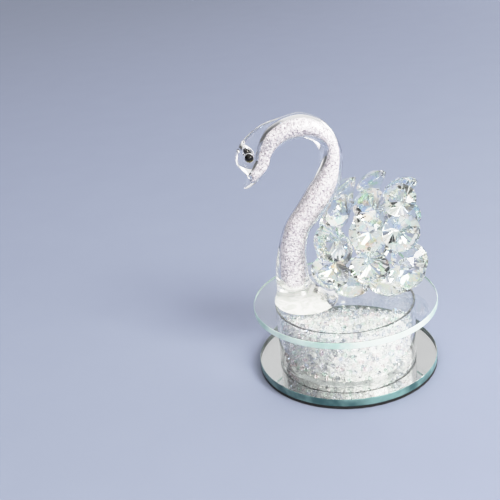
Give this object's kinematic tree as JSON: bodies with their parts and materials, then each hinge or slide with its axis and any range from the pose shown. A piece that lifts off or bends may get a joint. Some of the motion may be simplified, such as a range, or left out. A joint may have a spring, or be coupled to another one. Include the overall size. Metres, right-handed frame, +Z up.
{
  "type": "crystal swan figurine",
  "caption": "Clear glass swan ornament with wings of faceted crystals, standing on a round glass drum of crystal chips over a mirror base.",
  "frame": {"origin": "centre of the felt pad's underside, on the table", "axes": "+Z up, -X the way the swan faces, +Y its right side"},
  "size_m": [0.0821, 0.0808, 0.1169],
  "materials": {
    "felt": "matt black felt pad",
    "mirror_glass": "clear float glass, silvered on its underside, with a polished green edge",
    "filled_glass": "clear glass drum filled with small clear crystal chips",
    "plate_glass": "clear float glass with a polished edge, faintly green",
    "clear_glass": "lamp-worked clear glass around a core of white crystal grit",
    "cut_crystal": "faceted and polished clear crystal",
    "eye_bead": "glossy black bead with a dull gold lower rim"
  },
  "bodies": {
    "root": {"felt_pad": "felt", "mirror_base": "mirror_glass", "crystal_drum": "filled_glass", "lid_disc": "plate_glass", "swan_body": "clear_glass", "left_eye": "eye_bead", "right_eye": "eye_bead", "left_wing_crystal_1_1": "cut_crystal", "left_wing_crystal_1_2": "cut_crystal", "left_wing_crystal_1_3": "cut_crystal", "left_wing_crystal_2_1": "cut_crystal", "left_wing_crystal_2_2": "cut_crystal", "left_wing_crystal_2_3": "cut_crystal", "left_wing_crystal_3_1": "cut_crystal", "left_wing_crystal_3_2": "cut_crystal", "left_wing_crystal_3_3": "cut_crystal", "right_wing_crystal_1_1": "cut_crystal", "right_wing_crystal_1_2": "cut_crystal", "right_wing_crystal_1_3": "cut_crystal", "right_wing_crystal_2_1": "cut_crystal", "right_wing_crystal_2_2": "cut_crystal", "right_wing_crystal_2_3": "cut_crystal", "right_wing_crystal_3_1": "cut_crystal", "right_wing_crystal_3_2": "cut_crystal", "right_wing_crystal_3_3": "cut_crystal", "keel_crystal_front": "cut_crystal", "keel_crystal_rear": "cut_crystal"}
  },
  "joints": []
}
